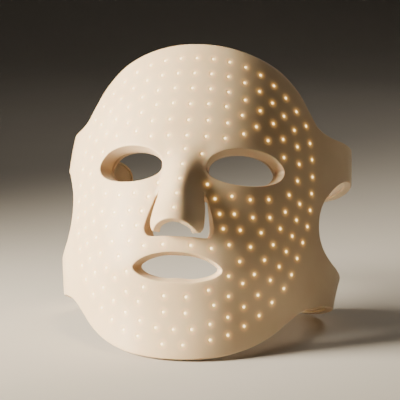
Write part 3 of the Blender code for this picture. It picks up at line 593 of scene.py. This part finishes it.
def add_glow(obj, leds, depth):
    """Per-vertex nearness to the lights, which shine through the silicone."""
    coords = np.empty(len(obj.data.vertices) * 3)
    obj.data.vertices.foreach_get("co", coords)
    lights = to_world(at_depth(leds, depth))
    gap = nearest_distance(coords.reshape(-1, 3), lights) / MM
    attribute = obj.data.attributes.new("glow", "FLOAT", "POINT")
    attribute.data.foreach_set("value", np.exp(-((gap / GLOW_WIDTH) ** 1.3)).astype(np.float32))


def towards(centre, loop, amount):
    """At each point of a loop, a step of the given length towards a centre."""
    return unit(np.array(centre) - loop) * amount


def slot_softness(side, whole):
    """No rounding along the seam; it grows to full a little way down the slot."""
    drop = np.clip((SLOT_TIP[1] - whole[:, 1]) / SEAM_FADE, 0.0, 1.0)
    drop[len(side):] = 0.0
    return drop


def face_edges():
    """The edges of the front cover and of the nose flap."""
    outline = smooth_loop(mirrored(OUTLINE_HALF), LOOP_STEP * 1.2)
    eye_left = smooth_loop(EYE, LOOP_STEP)
    eye_right = eye_left * (-1, 1)
    eye_slant = towards(EYE_CENTRE, eye_left, EYE_RIM_SLANT)
    mouth = smooth_loop(mirrored(MOUTH_HALF), LOOP_STEP)
    cheek_side = smooth_arc(CHEEK_SIDE_HALF, LOOP_STEP * 0.8)
    flap_side = smooth_arc(FLAP_SIDE_HALF, LOOP_STEP * 0.8)
    seam = np.stack((np.linspace(-SLOT_TIP[0], SLOT_TIP[0], SEAM_POINTS),
                     np.full(SEAM_POINTS, SLOT_TIP[1])), axis=1)[1:-1]
    nose_hole = np.vstack((cheek_side, seam))
    flap = np.vstack((flap_side, seam))

    # The side walls of the nose opening get deeper downwards and close in.
    near, far = NOSE_RIM_FADE_S
    bottom, top = NOSE_RIM_FADE_Z
    low = np.clip((top - nose_hole[:, 1]) / (top - bottom), 0.0, 1.0)
    side = np.clip((np.abs(nose_hole[:, 0]) - near) / (far - near), 0.0, 1.0)
    amount = low * side
    slant = np.stack((-np.copysign(NOSE_RIM_SLANT * amount, nose_hole[:, 0]), 0 * amount), axis=1)
    cover_edges = [
        make_edge(outline, TOTAL_THICK, hole=False),
        make_edge(eye_left, EYE_RIM_DEPTH, slant=eye_slant),
        make_edge(eye_right, EYE_RIM_DEPTH, slant=eye_slant * (-1, 1)),
        make_edge(mouth, MOUTH_RIM_DEPTH, slant=towards(MOUTH_CENTRE, mouth, MOUTH_RIM_SLANT)),
        make_edge(nose_hole, TOTAL_THICK, slant=slant, extra=NOSE_RIM_EXTRA * amount,
                  soft=slot_softness(cheek_side, nose_hole)),
    ]
    flap_edges = [make_edge(flap, TOTAL_THICK, hole=False, soft=slot_softness(flap_side, flap))]
    return cover_edges, flap_edges


def build_gasket(name, edge, material):
    """The soft ring behind an eye opening, with a rounded section."""
    middle_depth = EYE_RIM_DEPTH + GASKET_GAP + GASKET_THICK / 2
    half_thick = GASKET_THICK / 2
    corner = 1.0
    section = []
    for centre_offset, start in ((GASKET_OUTER - corner, -90), (corner - GASKET_INNER, 90)):
        for k in range(9):
            angle = math.radians(start + 180 * k / 8)
            section.append((centre_offset + corner * math.cos(angle),
                            middle_depth + half_thick * math.sin(angle)))
    shell = Shell()
    rings = [at_depth(edge["loop"] - edge["outward"] * offset, depth) for offset, depth in section]
    shell.strip(rings + rings[:1])
    return shell.finish(name, material)


def build_lenses(name, leds, material):
    """A small domed lens in each dimple, with a bright core."""
    shell = Shell()
    along, up, inward = skin_axes(leds[:, 0], leds[:, 1])
    middle = skin(leds[:, 0], leds[:, 1])
    angles = 2 * math.pi * np.arange(LENS_SIDES)[:, None] / LENS_SIDES
    fan = [(k, (k + 1) % LENS_SIDES, LENS_SIDES) for k in range(LENS_SIDES)]
    for i in range(len(leds)):
        circle = np.cos(angles) * along[i] + np.sin(angles) * up[i]
        rings = [middle[i] + inward[i] * depth + radius * circle for radius, depth in LENS_PROFILE]
        shell.strip(rings)
        for ring, depth in ((rings[0], LENS_PROFILE[0][1]), (rings[-1], LENS_CROWN)):
            shell.add(np.vstack((ring, middle[i] + inward[i] * depth)), fan)
    obj = shell.finish(name, material)
    coords = np.array([tuple(v.co) for v in obj.data.vertices])
    gap = nearest_distance(coords, to_world(middle)) / MM
    core = np.clip(1.0 - gap / LENS_RADIUS, 0.0, 1.0)
    attribute = obj.data.attributes.new("core", "FLOAT", "POINT")
    attribute.data.foreach_set("value", core.astype(np.float32))
    return obj


# ========================================================================================
# Materials
# ========================================================================================
class Nodes:
    """A material's node tree, with short calls to add and link nodes."""

    def __init__(self, name):
        self.material = bpy.data.materials.new(name)
        self.material.use_nodes = True
        self.tree = self.material.node_tree
        self.shader = self.tree.nodes["Principled BSDF"]
        self.coords = self.add("ShaderNodeTexCoord").outputs["Object"]

    def add(self, kind, inputs=None, **settings):
        node = self.tree.nodes.new(kind)
        for key, value in settings.items():
            setattr(node, key, value)
        for key, value in (inputs or {}).items():
            if isinstance(value, bpy.types.NodeSocket):
                self.tree.links.new(value, node.inputs[key])
            else:
                node.inputs[key].default_value = value
        return node

    def set(self, **values):
        """Constants of the shader, with _ for each space in a name."""
        for key, value in values.items():
            self.shader.inputs[key.replace("_", " ")].default_value = value

    def link(self, output, key):
        self.tree.links.new(output, self.shader.inputs[key])

    def noise(self, scale, detail=3.0):
        inputs = {"Vector": self.coords, "Scale": scale, "Detail": detail}
        return self.add("ShaderNodeTexNoise", inputs).outputs["Fac"]

    def ramp(self, value, low, high, start=0.3, end=0.7):
        """A colour between low and high."""
        node = self.add("ShaderNodeValToRGB", {"Fac": value})
        for element, position, colour in zip(node.color_ramp.elements, (start, end), (low, high)):
            element.position = position
            element.color = (*colour, 1.0)
        return node.outputs["Color"]

    def spread(self, value, low, high):
        """A number between low and high."""
        inputs = {"Value": value, "To Min": low, "To Max": high}
        return self.add("ShaderNodeMapRange", inputs).outputs["Result"]

    def bump(self, height, strength, distance, normal=None):
        inputs = {"Height": height, "Strength": strength, "Distance": distance}
        if normal is not None:
            inputs["Normal"] = normal
        return self.add("ShaderNodeBump", inputs).outputs["Normal"]


def silicone(name, tint, shade, glow_colour, glow_strength):
    """Matte moulded silicone: soft cloudy tint, fine tooth, lights glowing through it."""
    n = Nodes(name)
    n.link(n.ramp(n.noise(38.0, 4.0), shade, tint), "Base Color")
    n.link(n.spread(n.noise(900.0, 2.0), 0.38, 0.54), "Roughness")
    tooth = n.bump(n.noise(2600.0, 2.0), 0.10, 0.00012)
    n.link(n.bump(n.noise(160.0, 3.0), 0.12, 0.0004, tooth), "Normal")
    n.set(Subsurface_Weight=0.18, Subsurface_Scale=0.0022, Specular_IOR_Level=0.42,
          Sheen_Weight=0.12, Sheen_Roughness=0.45, IOR=1.41)
    n.shader.inputs["Subsurface Radius"].default_value = (1.0, 0.55, 0.30)
    glow = n.add("ShaderNodeAttribute", attribute_name="glow").outputs["Fac"]
    n.set(Emission_Color=(*glow_colour, 1.0))
    n.link(n.spread(glow, 0.0, glow_strength), "Emission Strength")
    return n.material


def seal_rubber_and_painted_shade(name):
    """Soft seal rubber, darker than the skin: its own colour on the pod gasket, and on the eye seals partly
    painted shade for the shaded inner wall of each eye opening.
    """
    n = Nodes(name)
    # Darker than the skin's ivory; where it lines the eye openings this darkness is partly painted shade.
    n.link(n.ramp(n.noise(90.0, 3.0), (0.58, 0.44, 0.30), (0.68, 0.53, 0.38)), "Base Color")
    n.link(n.spread(n.noise(700.0, 2.0), 0.55, 0.72), "Roughness")
    n.link(n.bump(n.noise(1500.0, 2.0), 0.2, 0.0002), "Normal")
    n.set(Sheen_Weight=0.1, Specular_IOR_Level=0.35)
    return n.material


def lens(name):
    """A lit lens: a warm white core that falls to amber at its rim."""
    n = Nodes(name)
    core = n.add("ShaderNodeAttribute", attribute_name="core").outputs["Fac"]
    n.link(n.ramp(core, (1.0, 0.62, 0.20), (1.0, 0.86, 0.52), 0.0, 0.45), "Emission Color")
    n.link(n.spread(core, 1.8, 4.2), "Emission Strength")
    n.link(n.ramp(n.noise(800.0), (0.80, 0.62, 0.40), (0.90, 0.76, 0.55)), "Base Color")
    n.set(Roughness=0.18, IOR=1.5)
    return n.material


def moulded(name, low, high, roughness=(0.36, 0.5)):
    """Moulded plastic with a fine spark-eroded grain and slightly uneven gloss."""
    n = Nodes(name)
    n.link(n.ramp(n.noise(60.0, 3.0), low, high), "Base Color")
    n.link(n.spread(n.noise(220.0, 3.0), *roughness), "Roughness")
    n.link(n.bump(n.noise(1400.0, 2.0), 0.25, 0.00015), "Normal")
    return n.material


def plated_steel(name):
    """Nickel-plated sheet steel of the charging socket."""
    n = Nodes(name)
    n.link(n.ramp(n.noise(300.0, 2.0), (0.56, 0.56, 0.58), (0.70, 0.70, 0.72)), "Base Color")
    n.link(n.spread(n.noise(900.0, 2.0), 0.22, 0.38), "Roughness")
    n.link(n.bump(n.noise(2400.0, 2.0), 0.1, 0.0001), "Normal")
    n.set(Metallic=1.0)
    return n.material


def foil(name):
    """Crinkled battery pouch foil."""
    n = Nodes(name)
    cells = n.add("ShaderNodeTexVoronoi", {"Vector": n.coords, "Scale": 260.0}).outputs["Distance"]
    n.link(n.ramp(n.noise(120.0, 3.0), (0.50, 0.52, 0.55), (0.66, 0.68, 0.70)), "Base Color")
    n.link(n.spread(n.noise(400.0, 2.0), 0.25, 0.45), "Roughness")
    n.link(n.bump(cells, 0.3, 0.0005), "Normal")
    n.set(Metallic=0.85)
    return n.material


def circuit(name, low, high):
    """Board with faint track lines under its coating."""
    n = Nodes(name)
    tracks = n.add("ShaderNodeTexWave", {"Vector": n.coords, "Scale": 420.0, "Distortion": 3.0,
                                         "Detail": 2.0}).outputs["Fac"]
    n.link(n.ramp(tracks, low, high, 0.35, 0.6), "Base Color")
    n.link(n.spread(n.noise(500.0, 2.0), 0.28, 0.46), "Roughness")
    n.link(n.bump(tracks, 0.2, 0.0001), "Normal")
    return n.material


def soften(node):
    """Small rounds on the sharp edges of a moulded piece, which keeps its flat faces flat."""
    bevel = node.modifiers.new("round", "BEVEL")
    bevel.width = 0.25 * MM
    bevel.segments = 2
    bevel.limit_method = "ANGLE"
    bevel.angle_limit = math.radians(40)
    bevel.harden_normals = True


# ========================================================================================
# Build
# ========================================================================================
sites = led_sites()
face_lights = np.vstack([sites[name] for name in LIGHT_BOARDS if name != "nose_board"])
flap_lights = sites["nose_board"]

ivory = ((0.85, 0.66, 0.44), (0.79, 0.595, 0.38))
sand = ((0.74, 0.60, 0.44), (0.66, 0.52, 0.37))
amber = (1.0, 0.50, 0.10)
cover_silicone = silicone("cover_silicone", *ivory, amber, 1.5)
flap_silicone = silicone("flap_silicone", *ivory, amber, 1.5)
liner_silicone = silicone("liner_silicone", *sand, amber, 0.9)
flap_liner_silicone = silicone("flap_liner_silicone", *sand, amber, 0.9)

cover_edges, flap_edges = face_edges()
cover = build_shell("cover_skin", cover_edges, face_lights, SKIN_GRID, WALL, cover_silicone)
liner = build_liner("liner_skin", cover_edges, face_lights, SKIN_GRID, liner_silicone)
flap = build_shell("flap_skin", flap_edges, flap_lights, NOSE_GRID, FLAP_WALL, flap_silicone)
flap_liner = build_liner("flap_liner_skin", flap_edges, flap_lights, NOSE_GRID, flap_liner_silicone)
add_glow(cover, face_lights, 0.0)
add_glow(flap, flap_lights, 0.0)
add_glow(liner, face_lights, TOTAL_THICK)
add_glow(flap_liner, flap_lights, TOTAL_THICK)

hinge_top = Vector(to_world(skin(np.array([0.0]), np.array([SLOT_TIP[1]])))[0])

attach(cover, "mask")
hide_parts("front_cover")
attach(liner, "mask")
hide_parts("face_liner")
for piece, node in ((flap, "nose_flap_cover"), (flap_liner, "nose_flap_liner")):
    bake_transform(piece)
    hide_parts(node)

for side, edge in (("left", cover_edges[1]), ("right", cover_edges[2])):
    node = "eye_gasket_" + side
    # The eye seal's darker colour is partly painted shade, standing for the shaded inner wall of the eye
    # opening.
    gasket = build_gasket("eye_seal_" + side, edge, seal_rubber_and_painted_shade("seal_" + side))
    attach(gasket, "mask")
    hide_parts(node)

for node in LIGHT_BOARDS:
    lenses = build_lenses(node.replace("_board", "_lenses"), sites[node], lens(node + "_lens"))
    if node == "nose_board":
        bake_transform(lenses)
    else:
        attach(lenses, "mask")

bronze = ((0.46, 0.35, 0.24), (0.53, 0.42, 0.30))
beige = ((0.66, 0.55, 0.42), (0.72, 0.61, 0.47))
black = ((0.02, 0.02, 0.02), (0.05, 0.05, 0.05))
finishes = {
    "pod_case": moulded("pod_case", *beige),
    "pod_back_cover": moulded("pod_back_cover", *beige),
    "pod_gasket": seal_rubber_and_painted_shade("pod_gasket"),
    "charging_port_bezel": moulded("charging_port_bezel", *bronze, (0.25, 0.35)),
    "power_button": moulded("power_button", *bronze, (0.25, 0.35)),
    "charging_port_shell": plated_steel("charging_port_shell"),
    "charging_port_tongue": moulded("charging_port_tongue", *black),
    "status_light_pipe": moulded("status_light_pipe", (0.80, 0.74, 0.62), (0.90, 0.85, 0.74), (0.08, 0.16)),
    "battery_cell": foil("battery_cell"),
    "control_board": circuit("control_board", (0.02, 0.16, 0.07), (0.05, 0.26, 0.11)),
    "battery_lead_positive": moulded("battery_lead_positive", (0.50, 0.04, 0.03), (0.62, 0.06, 0.04)),
    "battery_lead_negative": moulded("battery_lead_negative", *black),
}
for node in ("controller_chip", "ribbon_connector", "tact_switch"):
    finishes[node] = moulded(node, *black)
for node in LIGHT_BOARDS:
    finishes[node] = circuit(node, (0.70, 0.42, 0.16), (0.84, 0.60, 0.28))
for node in ("ribbon_cable", "forehead_jumper_left", "forehead_jumper_right",
             "chin_jumper_left", "chin_jumper_right"):
    finishes[node] = circuit(node, (0.55, 0.28, 0.06), (0.74, 0.44, 0.14))
for node, finish in finishes.items():
    for material_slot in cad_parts[node].material_slots:
        material_slot.material = finish
for node in ("pod_case", "pod_back_cover", "power_button", "charging_port_bezel"):
    soften(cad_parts[node])


# ========================================================================================
# Stage, lights and camera
# ========================================================================================
def paper(name):
    """Pale matt backdrop paper."""
    n = Nodes(name)
    n.link(n.ramp(n.noise(6.0, 3.0), (0.61, 0.595, 0.57), (0.64, 0.625, 0.60)), "Base Color")
    n.link(n.spread(n.noise(40.0, 2.0), 0.7, 0.85), "Roughness")
    return n.material


def build_floor():
    """A pale sweep in metres: floor, a curve and a wall behind."""
    flat_end, radius = 1.2, 0.8
    rows = [(-1.6, 0.0), (flat_end, 0.0)]
    rows += [(flat_end + radius * math.sin(a), radius * (1 - math.cos(a)))
             for a in np.linspace(0.1, math.pi / 2, 14)]
    rows.append((flat_end + radius, 3.0))
    verts = [(x, y, z) for y, z in rows for x in (-3.0, 3.0)]
    faces = [(2 * k, 2 * k + 1, 2 * k + 3, 2 * k + 2) for k in range(len(rows) - 1)]
    mesh = bpy.data.meshes.new("floor")
    mesh.from_pydata(verts, [], faces)
    mesh.materials.append(paper("paper"))
    mesh.shade_smooth()
    floor = bpy.data.objects.new("floor", mesh)
    bpy.context.scene.collection.objects.link(floor)
    return floor


def direction(azimuth, elevation):
    """Unit vector from the mask to an azimuth and elevation in degrees."""
    a, e = math.radians(azimuth), math.radians(elevation)
    return Vector((math.sin(a) * math.cos(e), -math.cos(a) * math.cos(e), math.sin(e)))


LIGHT_TARGET = Vector((0.0, 0.0, 0.09))


def area_light(name, azimuth, elevation, distance, size, power, colour, spread=180.0):
    """A soft square light aimed at the mask. Azimuth 0 is in front, + towards +X."""
    data = bpy.data.lights.new(name, "AREA")
    data.shape = "SQUARE"
    data.size = size
    data.energy = power
    data.color = colour
    data.spread = math.radians(spread)
    light = bpy.data.objects.new(name, data)
    bpy.context.scene.collection.objects.link(light)
    back = direction(azimuth, elevation)
    light.location = LIGHT_TARGET + back * distance
    light.rotation_euler = back.to_track_quat("Z", "Y").to_euler()


build_floor()
area_light("key", -68.0, 17.0, 0.90, 0.34, 4.3, (1.0, 0.87, 0.67), spread=50.0)
area_light("fill", 60.0, 30.0, 1.4, 0.9, 0.15, (1.0, 0.62, 0.36))
area_light("rim", 150.0, 42.0, 1.1, 0.4, 2.2, (1.0, 0.88, 0.72))
world = bpy.data.worlds.new("studio")
world.use_nodes = True
world.node_tree.nodes["Background"].inputs["Color"].default_value = (0.96, 0.86, 0.75, 1.0)
world.node_tree.nodes["Background"].inputs["Strength"].default_value = 0.022
bpy.context.scene.world = world

camera_data = bpy.data.cameras.new("camera")
camera_data.lens = CAMERA_LENS
camera_data.sensor_width = 36.0
camera_data.clip_end = 20.0
camera = bpy.data.objects.new("camera", camera_data)
bpy.context.scene.collection.objects.link(camera)
back = direction(CAMERA_AZIMUTH, CAMERA_ELEVATION)
camera.location = (Vector(CAMERA_TARGET) + back * CAMERA_DISTANCE) * MM
camera.rotation_euler = back.to_track_quat("Z", "Y").to_euler()
bpy.context.scene.camera = camera
